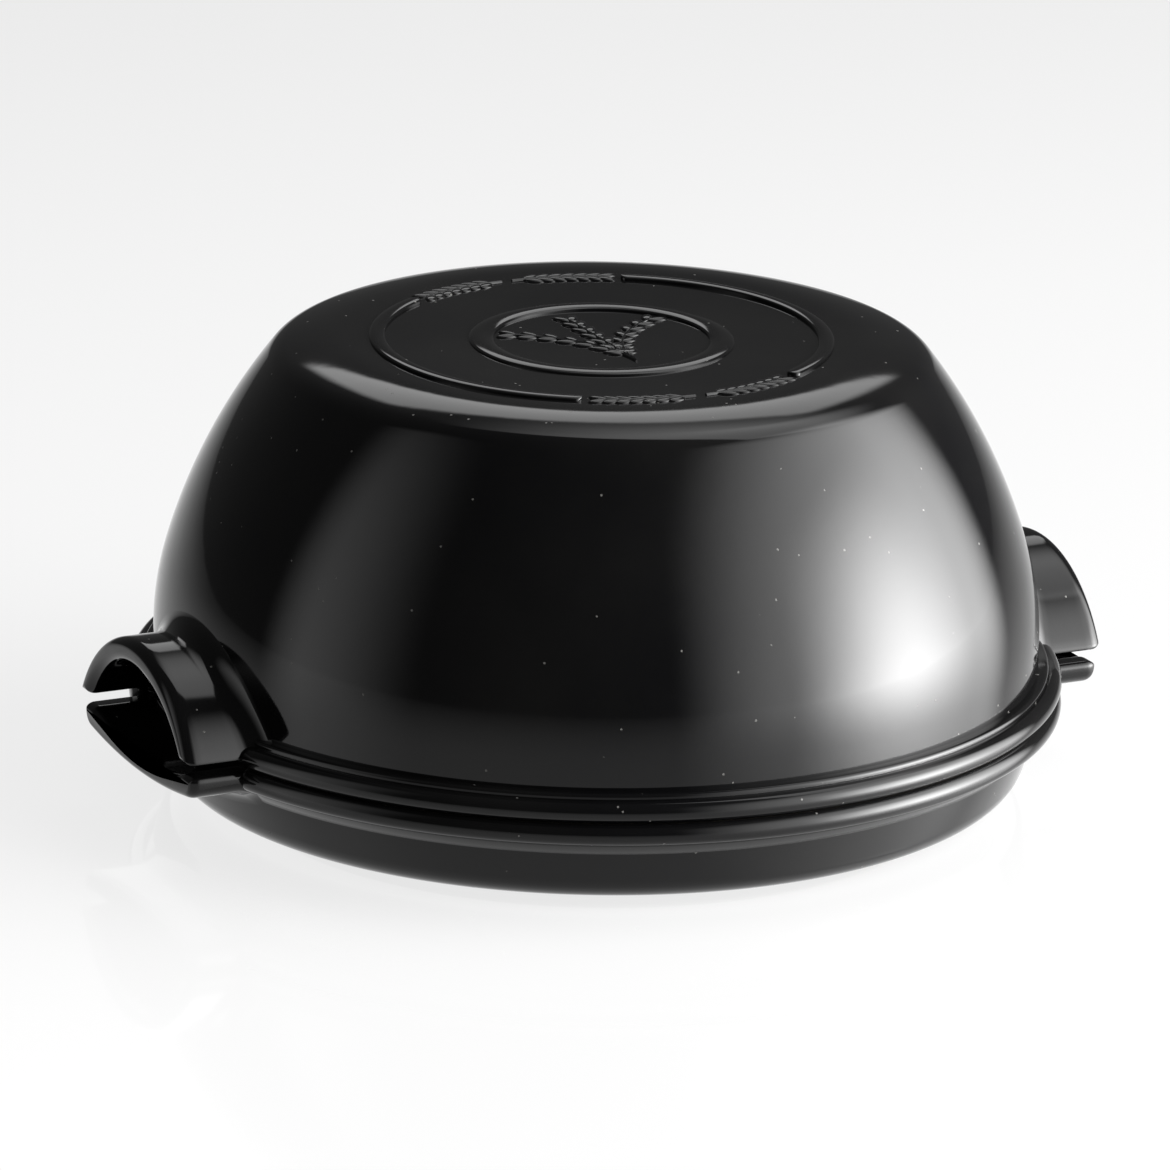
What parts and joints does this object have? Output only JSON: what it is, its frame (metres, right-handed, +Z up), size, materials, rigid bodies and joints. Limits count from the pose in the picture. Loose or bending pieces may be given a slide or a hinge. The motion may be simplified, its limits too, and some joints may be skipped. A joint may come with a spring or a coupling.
{
  "type": "bread cloche",
  "caption": "Glazed ceramic bread cloche: a tall dome lid with arched lugs that lifts off a shallow ribbed dish, for baking a round loaf.",
  "frame": {"origin": "centre of the foot ring, on the surface the dish stands on", "axes": "+X along the lugs, +Z up through the dome, +Y across the lugs"},
  "size_m": [0.335, 0.31, 0.1526],
  "materials": {
    "lid_glaze": "gloss black glaze",
    "dish_glaze": "gloss black glaze, foot ring bare"
  },
  "bodies": {
    "base": {"base_dish": "dish_glaze"},
    "lid": {"dome_lid": "lid_glaze"}
  },
  "joints": [
    {"name": "lid_lift", "type": "slide", "parent": "base", "child": "lid", "axis": [0, 0, 1], "range_m": [0, 0.2]}
  ]
}
